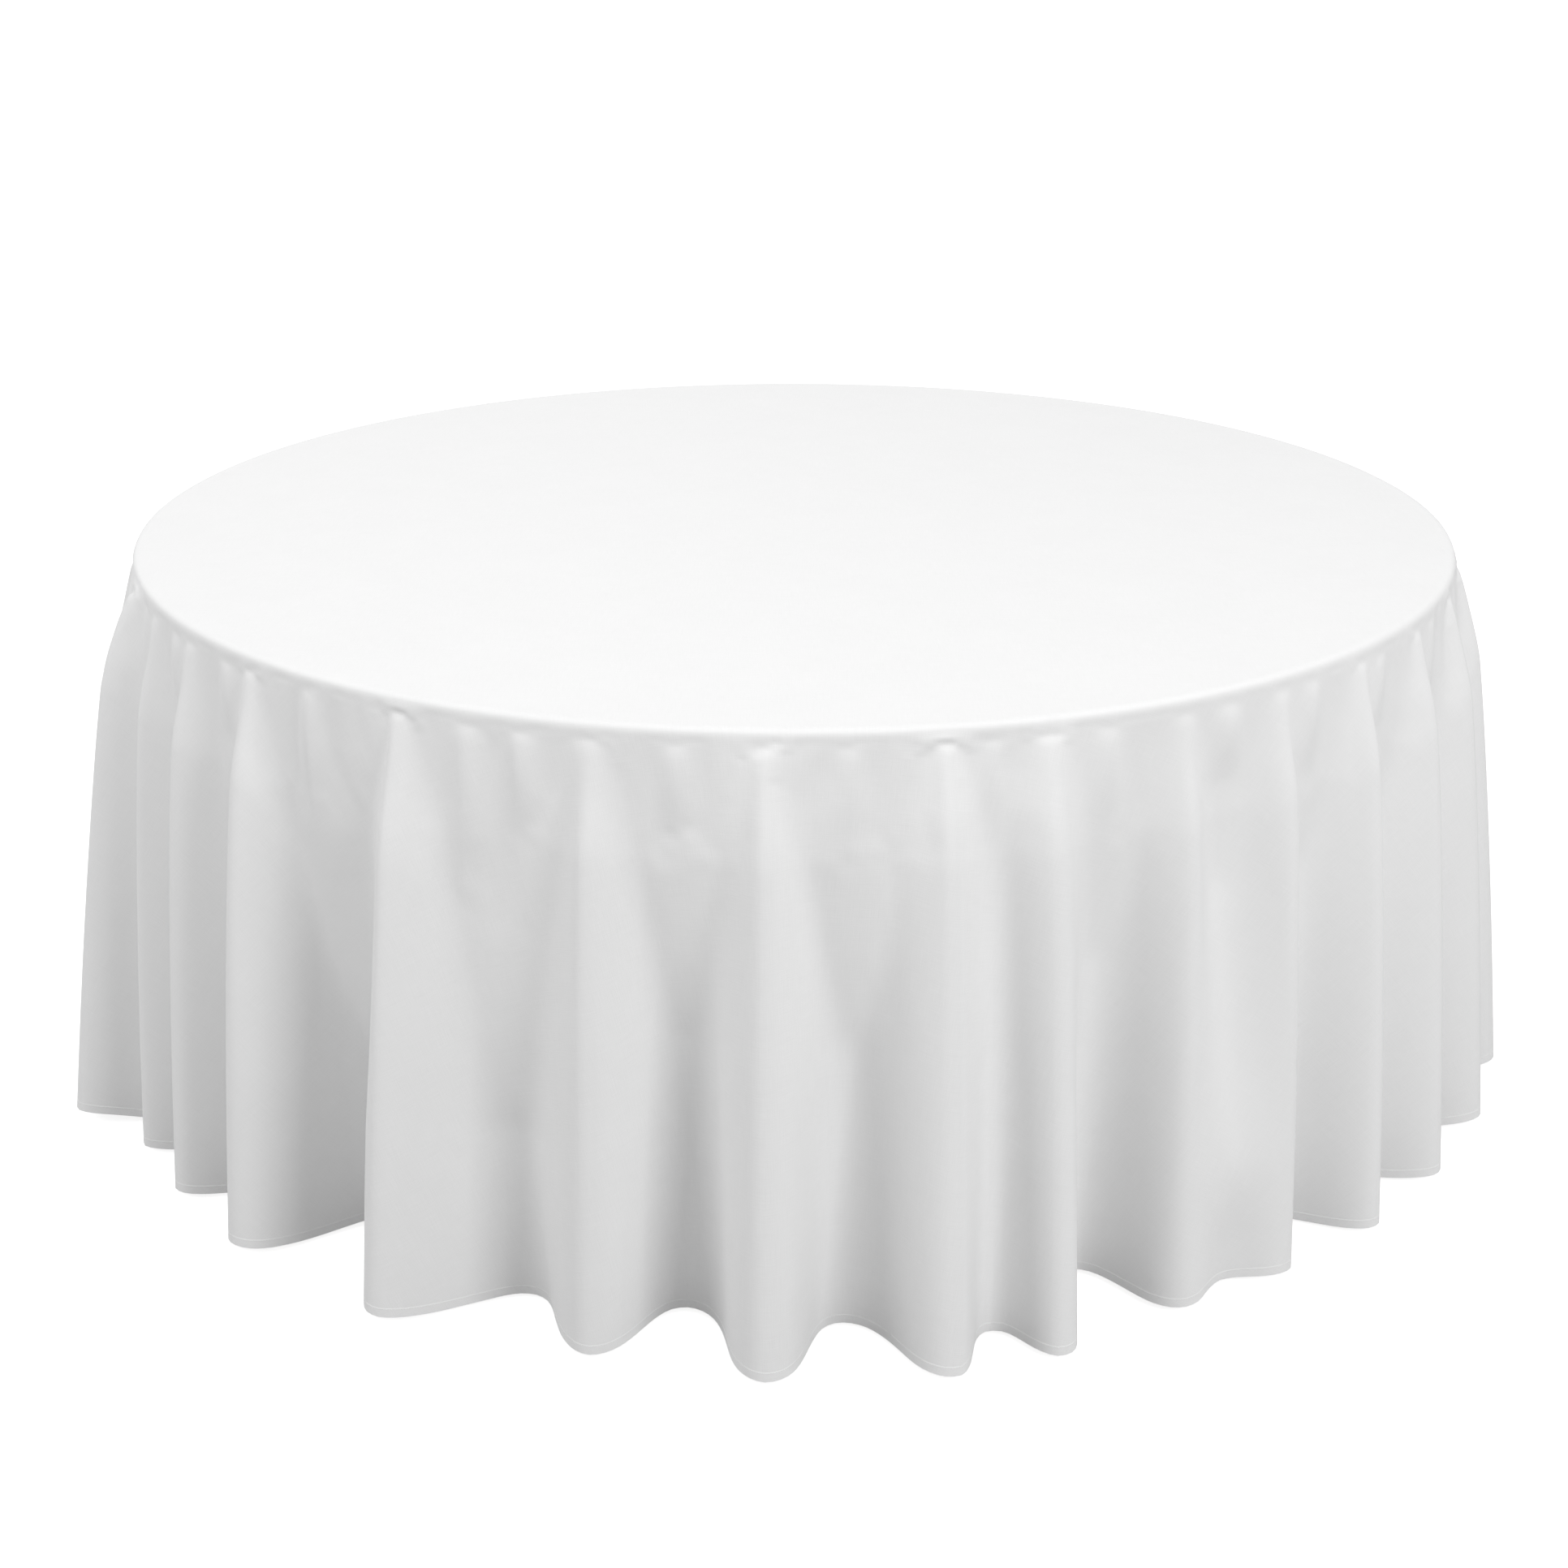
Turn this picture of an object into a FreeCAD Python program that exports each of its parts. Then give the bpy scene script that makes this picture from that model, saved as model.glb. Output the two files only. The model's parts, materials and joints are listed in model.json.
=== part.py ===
"""Round floor-length tablecloth on a folding round banquet table.

Millimetres. The origin is on the floor under the centre of the table, +Z is up, +X and -X are the
sides that the two folding leg frames stand on, and -Y is the front.
"""
import FreeCAD, Part
import math
import os

V = FreeCAD.Vector
X_AXIS = V(1, 0, 0)
Y_AXIS = V(0, 1, 0)
Z_AXIS = V(0, 0, 1)

# ---- driving dimensions: table top ----
TABLE_RADIUS = 914.4            # a 72 inch round table
TABLE_HEIGHT = 762.0            # 30 inches from the floor to the bare top
LAMINATE_THICKNESS = 1.0
BOARD_THICKNESS = 19.0
MOULDING_WIDTH = 9.1            # how far the edge moulding stands out past the board
MOULDING_DROP = 2.0             # how far it reaches below the board
EDGE_ROUNDING = 8.0             # radius along its upper and lower edges
MOULDING_GAP = 0.3
RAIL_HALF_LENGTH = 770.0
RAIL_WIDTH = 24.0
RAIL_DEPTH = 38.0
RAIL_INNER_Y = 400.0

# ---- driving dimensions: folding leg frames ----
PIVOT_X = 740.0
PIVOT_Z = 722.0
SPLAY_DEG = 4.0                 # outward lean of an open leg
PIVOT_TUBE_RADIUS = 11.0
PIVOT_TUBE_WALL = 2.0
PIVOT_TUBE_HALF_LENGTH = 362.0
POST_Y = 330.0
POST_RADIUS = 14.3
POST_WALL = 1.5
CROSSBAR_RADIUS = 11.0
CROSSBAR_DISTANCE = 345.0       # from the pivot, along the leg
FOOT_RADIUS = 17.5
FOOT_HEIGHT = 32.0
FOOT_FLOOR = 5.0                # plastic under the end of the post
SLEEVE_GAP = 0.1

# ---- driving dimensions: brackets and braces ----
PLATE = 3.0                     # bracket plate thickness
EAR_THICKNESS = 4.0
EAR_INNER_Y = 350.0
EAR_RADIUS = 18.0
BRACKET_HALF_LENGTH = 40.0
BRACKET_OUTER_Y = 392.0
BRACE_ANCHOR_INSET = 280.0      # from the leg pivot towards the middle of the table
BRACE_LUG_DISTANCE = 320.0      # from the leg pivot, along the leg
UPPER_LINK_LENGTH = 200.0
LINK_THICKNESS = 4.0
LINK_HALF_WIDTH = 8.0
LUG_HALF_THICKNESS = 2.0
LOWER_LINK_Y = 2.5              # first face of each layer of the brace, across the table
UPPER_LINK_Y = 9.0
ANCHOR_EAR_Y = 13.5
ANCHOR_EAR_RADIUS = 10.0
ANCHOR_HALF_LENGTH = 30.0
RIVET_RADIUS = 4.0
RIVET_HEAD_RADIUS = 7.0
RIVET_HEAD_HEIGHT = 1.5
RUNNING_GAP = 0.1               # radial clearance of every pivot

# ---- driving dimensions: wood screws ----
SCREW_RADIUS = 2.2
SCREW_HEAD_RADIUS = 4.5
SCREW_HEAD_HEIGHT = 2.5
SCREW_BITE = 14.0               # length driven into the board
SCREW_HOLE_RADIUS = 2.6

# ---- driving dimensions: tablecloth ----
CLOTH_THICKNESS = 0.8
CLOTH_GAP = 0.5                 # air between the cloth and the table
HEM_CLEARANCE = 6.0             # from the floor to the hem
HEM_RADIUS = 1030.0             # outer radius over the folds at the hem
HEM_WIDTH = 12.0
HEM_LAYER = 0.8
THREAD = 0.5

# ---- levels worked out from the driving dimensions ----
BOARD_TOP = TABLE_HEIGHT - LAMINATE_THICKNESS
BOARD_UNDERSIDE = BOARD_TOP - BOARD_THICKNESS
BOARD_RADIUS = TABLE_RADIUS - MOULDING_WIDTH
PLATE_UNDERSIDE = BOARD_UNDERSIDE - PLATE


def save(name, shape):
    """Write one node as a STEP file."""
    solids = shape.Solids
    if not solids or not shape.isValid():
        raise ValueError(name + " is not a valid solid")
    shape.exportStep(os.path.join("parts", name + ".step"))
    volume = sum(solid.Volume for solid in solids)
    print("%-28s %3d solid(s) %14.1f mm3" % (name, len(solids), volume))


def mirrored(shape):
    """The same piece on the -X side."""
    return shape.mirror(V(0, 0, 0), X_AXIS)


def disc(radius, z_low, thickness):
    return Part.makeCylinder(radius, thickness, V(0, 0, z_low), Z_AXIS)


def block(low, high):
    """A box between two opposite corners."""
    return Part.makeBox(high[0] - low[0], high[1] - low[1], high[2] - low[2], V(*low))


def rod(start, end, radius):
    axis = end - start
    return Part.makeCylinder(radius, axis.Length, start, axis)


def tube(start, end, radius, wall):
    return rod(start, end, radius).cut(rod(start, end, radius - wall))


def along_y(centre, y_low, y_high, radius):
    """A rod across the table, through centre."""
    return rod(V(centre.x, y_low, centre.z), V(centre.x, y_high, centre.z), radius)


def revolved(edges):
    """A solid of revolution about the table's upright axis, from a closed profile in XZ."""
    face = Part.Face(Part.Wire(edges))
    return face.revolve(V(0, 0, 0), Z_AXIS, 360)


def line(a, b):
    return Part.LineSegment(V(a[0], 0, a[1]), V(b[0], 0, b[1])).toShape()


def arc(a, middle, b):
    points = [V(p[0], 0, p[1]) for p in (a, middle, b)]
    return Part.Arc(*points).toShape()


def quarter_middle(centre, radius, right, up):
    """The point half way along a quarter round."""
    half = radius * math.sqrt(0.5)
    return (centre[0] + right * half, centre[1] + up * half)


# ---- table top ----

def edge_moulding():
    """A plastic ring round the board, rounded over along its two outer edges."""
    inner = BOARD_RADIUS + MOULDING_GAP
    outer = TABLE_RADIUS
    top = TABLE_HEIGHT
    bottom = BOARD_UNDERSIDE - MOULDING_DROP
    r = EDGE_ROUNDING
    upper_centre = (outer - r, top - r)
    lower_centre = (outer - r, bottom + r)
    profile = [
        line((inner, bottom), (inner, top)),
        line((inner, top), (outer - r, top)),
        arc((outer - r, top), quarter_middle(upper_centre, r, 1, 1), (outer, top - r)),
        line((outer, top - r), (outer, bottom + r)),
        arc((outer, bottom + r), quarter_middle(lower_centre, r, 1, -1), (outer - r, bottom)),
        line((outer - r, bottom), (inner, bottom)),
    ]
    quarter = Part.Face(Part.Wire(profile)).revolve(V(0, 0, 0), Z_AXIS, 90)
    turned = []
    for turns in (1, 2, 3):
        piece = quarter.copy()
        piece.rotate(V(0, 0, 0), Z_AXIS, 90 * turns)
        turned.append(piece)
    return quarter.fuse(turned)


def rail(side):
    """Hardwood stiffener under the board; side is -1 at the front and 1 at the back."""
    y_inner = side * RAIL_INNER_Y
    y_outer = side * (RAIL_INNER_Y + RAIL_WIDTH)
    low = (-RAIL_HALF_LENGTH, min(y_inner, y_outer), BOARD_UNDERSIDE - RAIL_DEPTH)
    high = (RAIL_HALF_LENGTH, max(y_inner, y_outer), BOARD_UNDERSIDE)
    body = block(low, high)
    ends = [e for e in body.Edges if abs(e.CenterOfMass.z - low[2]) < 0.1]
    return body.makeChamfer(4.0, ends)


# ---- wood screws ----

def bracket_screw_places(side):
    """Four screws through each pivot bracket on the +X side."""
    return [(PIVOT_X + dx, side * y) for dx in (-28.0, 28.0) for y in (368.0, 384.0)]


def anchor_screw_places():
    anchor_x = PIVOT_X - BRACE_ANCHOR_INSET
    return [(anchor_x + dx, y) for dx in (-20.0, 20.0) for y in (26.0, 42.0)]


def rail_screw_places(side):
    middle = side * (RAIL_INNER_Y + RAIL_WIDTH / 2)
    return [(x, middle) for x in (-700.0, -350.0, 0.0, 350.0, 700.0)]


def wood_screw(place, seat_z):
    """A pan-head screw, driven up from seat_z into the board."""
    x, y = place
    head = Part.makeCylinder(SCREW_HEAD_RADIUS, SCREW_HEAD_HEIGHT, V(x, y, seat_z - SCREW_HEAD_HEIGHT))
    shank = Part.makeCylinder(SCREW_RADIUS, BOARD_UNDERSIDE + SCREW_BITE - seat_z, V(x, y, seat_z))
    return head.fuse(shank).removeSplitter()


def screw_holes(places):
    return [Part.makeCylinder(SCREW_HOLE_RADIUS, PLATE + 2, V(x, y, PLATE_UNDERSIDE - 1)) for x, y in places]


def wood_screws():
    screws = []
    for side in (-1, 1):
        for place in bracket_screw_places(side):
            screws.append(wood_screw(place, PLATE_UNDERSIDE))
    for place in anchor_screw_places():
        screws.append(wood_screw(place, PLATE_UNDERSIDE))
    screws += [mirrored(screw) for screw in screws]
    rail_seat = BOARD_UNDERSIDE - RAIL_DEPTH
    for side in (-1, 1):
        for place in rail_screw_places(side):
            screws.append(wood_screw(place, rail_seat))
    return Part.makeCompound(screws)


# ---- geometry of an open leg frame, on the +X side ----

PIVOT = V(PIVOT_X, 0, PIVOT_Z)
SPLAY = math.radians(SPLAY_DEG)
LEG_DIRECTION = V(math.sin(SPLAY), 0, -math.cos(SPLAY))
LEG_LENGTH = PIVOT_Z / math.cos(SPLAY)


def on_leg(distance, y=0.0):
    """A point on a leg's middle line, at a distance from the pivot."""
    return PIVOT + LEG_DIRECTION * distance + V(0, y, 0)


ANCHOR = V(PIVOT_X - BRACE_ANCHOR_INSET, 0, PIVOT_Z)
LUG = on_leg(BRACE_LUG_DISTANCE)
BRACE_DIRECTION = (LUG - ANCHOR).normalize()
KNEE = ANCHOR + BRACE_DIRECTION * UPPER_LINK_LENGTH


def pivot_bracket(side):
    """An L of steel: a plate screwed under the board and an ear that holds the pivot tube."""
    y_face = side * EAR_INNER_Y
    y_back = side * (EAR_INNER_Y + EAR_THICKNESS)
    y_outer = side * BRACKET_OUTER_Y
    ear_low, ear_high = min(y_face, y_back), max(y_face, y_back)
    plate = block((PIVOT_X - BRACKET_HALF_LENGTH, min(y_face, y_outer), PLATE_UNDERSIDE),
                  (PIVOT_X + BRACKET_HALF_LENGTH, max(y_face, y_outer), BOARD_UNDERSIDE))
    neck = block((PIVOT_X - EAR_RADIUS, ear_low, PIVOT_Z), (PIVOT_X + EAR_RADIUS, ear_high, PLATE_UNDERSIDE))
    eye = along_y(PIVOT, ear_low, ear_high, EAR_RADIUS)
    bore = along_y(PIVOT, ear_low - 1, ear_high + 1, PIVOT_TUBE_RADIUS + RUNNING_GAP)
    body = plate.fuse([neck, eye]).removeSplitter()
    return body.cut([bore] + screw_holes(bracket_screw_places(side)))


def brace_anchor():
    """An L of steel under the board that holds the upper end of a brace."""
    ear_high = ANCHOR_EAR_Y + EAR_THICKNESS
    plate = block((ANCHOR.x - ANCHOR_HALF_LENGTH, ANCHOR_EAR_Y, PLATE_UNDERSIDE),
                  (ANCHOR.x + ANCHOR_HALF_LENGTH, ANCHOR_EAR_Y + 38.0, BOARD_UNDERSIDE))
    neck = block((ANCHOR.x - ANCHOR_EAR_RADIUS, ANCHOR_EAR_Y, ANCHOR.z),
                 (ANCHOR.x + ANCHOR_EAR_RADIUS, ear_high, PLATE_UNDERSIDE))
    eye = along_y(ANCHOR, ANCHOR_EAR_Y, ear_high, ANCHOR_EAR_RADIUS)
    bore = along_y(ANCHOR, ANCHOR_EAR_Y - 1, ear_high + 1, RIVET_RADIUS)
    body = plate.fuse([neck, eye]).removeSplitter()
    return body.cut([bore] + screw_holes(anchor_screw_places()))


def rivet(centre, y_low, y_high):
    """A rivet across the brace, with a flat head outside each of the two faces."""
    shank = along_y(centre, y_low, y_high, RIVET_RADIUS)
    low_head = along_y(centre, y_low - RIVET_HEAD_HEIGHT, y_low, RIVET_HEAD_RADIUS)
    high_head = along_y(centre, y_high, y_high + RIVET_HEAD_HEIGHT, RIVET_HEAD_RADIUS)
    return shank.fuse([low_head, high_head]).removeSplitter()


def link(start, end, y_low, start_bore, end_bore):
    """A flat bar with round ends; each bore radius is for the pin at that end."""
    y_high = y_low + LINK_THICKNESS
    direction = (end - start).normalize()
    across = direction.cross(Y_AXIS) * LINK_HALF_WIDTH
    corners = [start + across, end + across, end - across, start - across]
    corners = [V(p.x, y_low, p.z) for p in corners]
    bar = Part.Face(Part.makePolygon(corners + corners[:1])).extrude(Y_AXIS * LINK_THICKNESS)
    ends = [along_y(p, y_low, y_high, LINK_HALF_WIDTH) for p in (start, end)]
    bores = [along_y(start, y_low - 1, y_high + 1, start_bore), along_y(end, y_low - 1, y_high + 1, end_bore)]
    return bar.fuse(ends).removeSplitter().cut(bores)


def knee_rivet(y_face, out):
    """The flat rivet head on one link's outer face, with the stub that fills the link's hole."""
    y_head = y_face + out * RIVET_HEAD_HEIGHT
    y_stub = y_face - out * LINK_THICKNESS
    head = along_y(KNEE, min(y_face, y_head), max(y_face, y_head), RIVET_HEAD_RADIUS)
    stub = along_y(KNEE, min(y_face, y_stub), max(y_face, y_stub), RIVET_RADIUS)
    return head.fuse(stub).removeSplitter()


def pivot_tube():
    return tube(V(PIVOT_X, -PIVOT_TUBE_HALF_LENGTH, PIVOT_Z), V(PIVOT_X, PIVOT_TUBE_HALF_LENGTH, PIVOT_Z),
                PIVOT_TUBE_RADIUS, PIVOT_TUBE_WALL)


def above(z):
    """Everything near the leg frame above a level."""
    return block((PIVOT_X - 200, -500, z), (PIVOT_X + 200, 500, z + 900))


def post(y):
    """A straight steel tube from under the pivot tube to the inside of its foot."""
    shell = tube(on_leg(0, y), on_leg(LEG_LENGTH + 20, y), POST_RADIUS, POST_WALL)
    shell = shell.cut(along_y(PIVOT, -500, 500, PIVOT_TUBE_RADIUS))
    pieces = shell.common(above(FOOT_FLOOR)).Solids
    return max(pieces, key=lambda piece: piece.Volume)


def foot(y):
    """A plastic cap on the end of a post, with a flat sole on the floor."""
    top = LEG_LENGTH - FOOT_HEIGHT
    cap = rod(on_leg(top, y), on_leg(LEG_LENGTH + 20, y), FOOT_RADIUS).common(above(0))
    socket = rod(on_leg(top - 5, y), on_leg(LEG_LENGTH + 20, y), POST_RADIUS + SLEEVE_GAP)
    return cap.cut(socket.common(above(FOOT_FLOOR)))


def crossbar():
    centre = on_leg(CROSSBAR_DISTANCE)
    bar = tube(centre - V(0, POST_Y, 0), centre + V(0, POST_Y, 0), CROSSBAR_RADIUS, POST_WALL)
    posts = [rod(on_leg(0, y), on_leg(LEG_LENGTH, y), POST_RADIUS) for y in (-POST_Y, POST_Y)]
    return bar.cut(posts)


def brace_lug():
    """A plate welded on the crossbar, with the hole for the lower end of the brace."""
    crossbar_centre = on_leg(CROSSBAR_DISTANCE)
    plate = link(LUG, crossbar_centre, -LUG_HALF_THICKNESS, RIVET_RADIUS, RIVET_RADIUS)
    bar = along_y(crossbar_centre, -POST_Y, POST_Y, CROSSBAR_RADIUS)
    return plate.cut(bar)


def leg_frame():
    """Every piece that swings with the leg frame on the +X side, by name."""
    return {
        "pivot_tube": pivot_tube(),
        "front_post": post(-POST_Y),
        "back_post": post(POST_Y),
        "crossbar": crossbar(),
        "brace_lug": brace_lug(),
        "lug_rivet": rivet(LUG, -LUG_HALF_THICKNESS, LOWER_LINK_Y + LINK_THICKNESS + RUNNING_GAP),
        "front_foot": foot(-POST_Y),
        "back_foot": foot(POST_Y),
    }


def brace():
    """The two links and the fixed pieces of the brace on the +X side, by name."""
    loose = RIVET_RADIUS + RUNNING_GAP
    head_gap = 0.3
    return {
        "brace_anchor": brace_anchor(),
        "anchor_rivet": rivet(ANCHOR, UPPER_LINK_Y - head_gap, ANCHOR_EAR_Y + EAR_THICKNESS),
        "upper_brace_link": link(ANCHOR, KNEE, UPPER_LINK_Y, loose, RIVET_RADIUS),
        "upper_knee_rivet": knee_rivet(UPPER_LINK_Y + LINK_THICKNESS, 1),
        "lower_brace_link": link(LUG, KNEE, LOWER_LINK_Y, loose, RIVET_RADIUS),
        "lower_knee_rivet": knee_rivet(LOWER_LINK_Y, -1),
    }


# ---- tablecloth, as a plain shell over the folds ----

def rim_radius():
    """Outer radius of the cloth where it leaves the table's rounded edge."""
    return TABLE_RADIUS + CLOTH_GAP + CLOTH_THICKNESS


def cloth_outline(inset):
    """Profile from the middle of the top to the hem, inset from the cloth's outer face."""
    top = TABLE_HEIGHT + CLOTH_GAP + CLOTH_THICKNESS - inset
    bend = EDGE_ROUNDING + CLOTH_GAP + CLOTH_THICKNESS - inset
    centre = (TABLE_RADIUS - EDGE_ROUNDING, TABLE_HEIGHT - EDGE_ROUNDING)
    middle = (0, top)
    bend_start = (centre[0], top)
    bend_end = (rim_radius() - inset, centre[1])
    hem = (HEM_RADIUS - inset, HEM_CLEARANCE)
    edges = [line(middle, bend_start),
             arc(bend_start, quarter_middle(centre, bend, 1, 1), bend_end),
             line(bend_end, hem)]
    return middle, edges, hem


def tablecloth_fabric():
    outer_start, outer_edges, outer_end = cloth_outline(0)
    inner_start, inner_edges, inner_end = cloth_outline(CLOTH_THICKNESS)
    edges = outer_edges + [line(outer_end, inner_end)] + inner_edges + [line(inner_start, outer_start)]
    return revolved(Part.__sortEdges__(edges))


def skirt_radius(z):
    """Outer radius of the hanging cloth at a level."""
    rim_z = TABLE_HEIGHT - EDGE_ROUNDING
    share = (rim_z - z) / (rim_z - HEM_CLEARANCE)
    return rim_radius() + share * (HEM_RADIUS - rim_radius())


def hem_ring(outer_gap, thickness, z_low, z_high):
    """A ring that follows the skirt near the hem; outer_gap is measured in from its outer face."""
    r_low = skirt_radius(z_low) - outer_gap
    r_high = skirt_radius(z_high) - outer_gap
    corners = [(r_low, z_low), (r_high, z_high), (r_high - thickness, z_high), (r_low - thickness, z_low)]
    return revolved([line(corners[i], corners[(i + 1) % 4]) for i in range(4)])


def hem_band():
    """The edge of the cloth turned up inside."""
    inset = CLOTH_THICKNESS + MOULDING_GAP
    return hem_ring(inset, HEM_LAYER, HEM_CLEARANCE + 0.1, HEM_CLEARANCE + HEM_WIDTH)


def hem_stitching():
    """The row of thread that holds the hem, standing on the outer face of the cloth."""
    z_low = HEM_CLEARANCE + HEM_WIDTH - 2 * THREAD
    return hem_ring(-MOULDING_GAP - THREAD, THREAD, z_low, z_low + THREAD)


def build():
    os.makedirs("parts", exist_ok=True)
    save("table_top_board", disc(BOARD_RADIUS, BOARD_UNDERSIDE, BOARD_THICKNESS))
    save("top_laminate", disc(BOARD_RADIUS, BOARD_TOP, LAMINATE_THICKNESS))
    save("edge_moulding", edge_moulding())
    save("front_rail", rail(-1))
    save("back_rail", rail(1))
    save("wood_screws", wood_screws())
    for end, side in (("front", -1), ("back", 1)):
        bracket = pivot_bracket(side)
        save("right_" + end + "_pivot_bracket", bracket)
        save("left_" + end + "_pivot_bracket", mirrored(bracket))
    for name, shape in {**leg_frame(), **brace()}.items():
        save("right_" + name, shape)
        save("left_" + name, mirrored(shape))
    save("tablecloth_fabric", tablecloth_fabric())
    save("hem_band", hem_band())
    save("hem_stitching", hem_stitching())


build()
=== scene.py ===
"""Looks of the round tablecloth on its folding banquet table. Metres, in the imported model's frame."""
import bpy
import json
import math
import numpy as np
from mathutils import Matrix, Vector


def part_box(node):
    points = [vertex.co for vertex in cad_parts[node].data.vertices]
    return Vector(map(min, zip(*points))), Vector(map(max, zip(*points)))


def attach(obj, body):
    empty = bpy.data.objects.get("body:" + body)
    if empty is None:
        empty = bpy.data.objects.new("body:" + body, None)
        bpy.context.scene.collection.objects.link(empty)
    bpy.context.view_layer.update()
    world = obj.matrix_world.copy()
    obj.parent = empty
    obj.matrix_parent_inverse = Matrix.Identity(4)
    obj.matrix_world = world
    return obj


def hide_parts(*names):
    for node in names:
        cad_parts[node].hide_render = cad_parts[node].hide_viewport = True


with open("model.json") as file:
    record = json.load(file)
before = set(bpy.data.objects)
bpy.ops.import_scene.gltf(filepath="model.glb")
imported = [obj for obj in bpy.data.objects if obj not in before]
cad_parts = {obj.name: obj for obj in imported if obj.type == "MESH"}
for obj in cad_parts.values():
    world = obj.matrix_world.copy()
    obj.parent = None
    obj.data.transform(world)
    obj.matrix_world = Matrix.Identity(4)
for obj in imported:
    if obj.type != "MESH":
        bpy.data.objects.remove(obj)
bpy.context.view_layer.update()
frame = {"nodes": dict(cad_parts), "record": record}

# ---- what the frame says ----
TABLE_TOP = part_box("top_laminate")[1].z
TABLE_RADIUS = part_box("edge_moulding")[1].x
EDGE_ROUNDING = 0.008           # of the edge moulding, which the frame doesn't give

# ---- the cloth as it was cut and sewn ----
CLOTH_RADIUS = 1.6764           # half of 132 inches
CLOTH_THICKNESS = 0.0005
CLOTH_LIFT = 0.0012             # from the table to the outer face of the cloth
HEM_WIDTH = 0.012
HEM_CLEARANCE = 0.004           # lowest point of the hem over the floor
STITCH_PITCH = 0.0032
STITCH_LENGTH = 0.0024
STITCH_WIDTH = 0.0005
STITCH_INSET = 0.0012           # from the turned edge to the row of stitches

# ---- the folds ----
# Angle round the table from the front in degrees, and how much further out than
# an ordinary fold it stands at the hem in millimetres.
FOLDS = [
    (-69.2, 84), (-62.2, 8), (-54.0, 9), (-44.7, 20), (-29.4, 28), (-14.3, 0), (-2.1, 34),
    (10.3, 43), (17.8, 28), (28.6, -7), (37.8, 0), (47.6, 14), (57.4, 23), (67.4, 37),
    (77.8, 49), (88.5, 16), (99, 0), (110.5, 14), (119.5, -6), (131, 8), (143.5, 0),
    (154, 16), (161.5, -8), (174, 10), (186.5, -4), (196, 10), (208.5, 14), (219, -4),
    (230, 6), (238, -8), (249.5, 10), (260.5, 2), (270.5, 14), (280.5, 20),
]
# How far the cloth is gathered round a fold's crest at the hem, by the fold's angle, both in degrees.
# It leaves less cloth for the wide flat faces, and more for the deep valleys beside them.
GATHERED = {-29.4: 1.8, -14.3: -0.6, 28.6: 2.4, 37.8: -0.8}
# Short pleats just under the rim: angle, and how far down they last in metres.
PLEATS = [
    (-64.8, 0.10), (-56.8, 0.12), (-48.0, 0.10), (-38.0, 0.14), (-23.6, 0.20), (-19.4, 0.13),
    (-8.2, 0.10), (3.6, 0.11), (13.4, 0.08), (22.2, 0.13), (32.6, 0.09), (41.2, 0.12),
    (50.4, 0.10), (61.0, 0.10), (71.2, 0.12), (94, 0.10), (105, 0.12), (125, 0.12),
    (137, 0.15), (148.5, 0.10), (168, 0.13), (180, 0.12), (202, 0.14), (213.5, 0.10),
    (244, 0.10), (255, 0.12), (265.5, 0.10),
]
HEM_CREST = 0.085               # how far an ordinary fold's crest stands out at the hem
CREST_POWER = 0.55              # how the crests' stand-out grows with the share of the drop
OFFSET_POWER = 0.8              # the same for a fold's own extra
EARLY_OFFSET = 0.25             # the share of a fold's own extra that it has just under the rim
EARLY_DEPTH = 0.2               # and how far down that lasts
FOLD_ONSET = 0.028              # depth over which the folds begin
GATHER_START = 0.08             # depth at which the gathering begins
GATHER_DEPTH = 0.6              # and over which it grows to its full amount
FLANK_AT_RIM = 0.036            # width of a fold's side under the rim
FLANK_GROWTH = 0.18             # and how much wider it gets for each metre down
FINE_STAND = 0.7                # height of the rim's fine folds against the main ones
FINE_FLANK = 0.8                # width of their sides against the main ones
FINE_DEPTH = 0.02               # where the short pleats start to fade
# Each of these eases in: its value at the rim, what is added, and over what depth.
CRISP = (0.3, 1.3, 0.35)        # flatness of the folds' sides
PEAK = (0.7, 0.15, 0.6)         # sharpness of the crests: 1 is as round as the valleys
SLACK = (0.0, 0.004, 0.1)       # share of each ring's cloth that is left out
SNUG_DEPTH = 0.04               # depth down to which the cloth is kept outside the rim
LEAST_FALL = 0.35               # the least that a ring falls, as a share of its width
LEAN = 0.12                     # how far the valleys lean towards the front, as a share of a fold
FOLD_STEPS = 120                # points worked out from one crest to the next
STEEPEST = 2.0                  # greatest turn of a fold's side, in radians
HALVINGS = 26                   # steps taken to find the turn that uses up the cloth
SEAT_HALVINGS = 9               # the same for how far out the crests stand near the rim
COLUMNS = 512                   # mesh columns round the cloth
SIMULATED_FRAMES = 50

# ---- the camera ----
CAMERA_PLACE = (-0.0137, -3.4, 1.654)
CAMERA_DOWN = 20.97             # degrees below level
CAMERA_LENS = 56.25             # millimetres, on a 36 mm wide sensor

# ---- the light: the world's strength, and each softbox in watts ----
WORLD = 0.585
OVERHEAD = 44.0
KEY = 150.0
FILL = 106.0
BACK = 60.0


def smooth(x):
    x = np.clip(x, 0, 1)
    return x * x * (3 - 2 * x)


def eased(at_rim, added, depth, down):
    return at_rim + added * float(smooth(down / depth))


def fold_swing(share, crisp, peak):
    """How the cloth's direction swings between each two crests.

    share is the part of the way that each fold's flank takes, crisp makes the flanks flatter,
    and a peak under 1 makes the crests sharper than the valleys.
    """
    u = np.linspace(0, 1, FOLD_STEPS + 1)[None, :]
    share = share[:, None]
    bump = np.where(u < share, np.sin(math.pi * np.minimum(u / share, 1) ** peak), 0.0)
    bump = np.where(u > 1 - share, -np.sin(math.pi * np.minimum((1 - u) / share, 1) ** peak), bump)
    return np.tanh(crisp * bump) / math.tanh(crisp)


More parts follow.
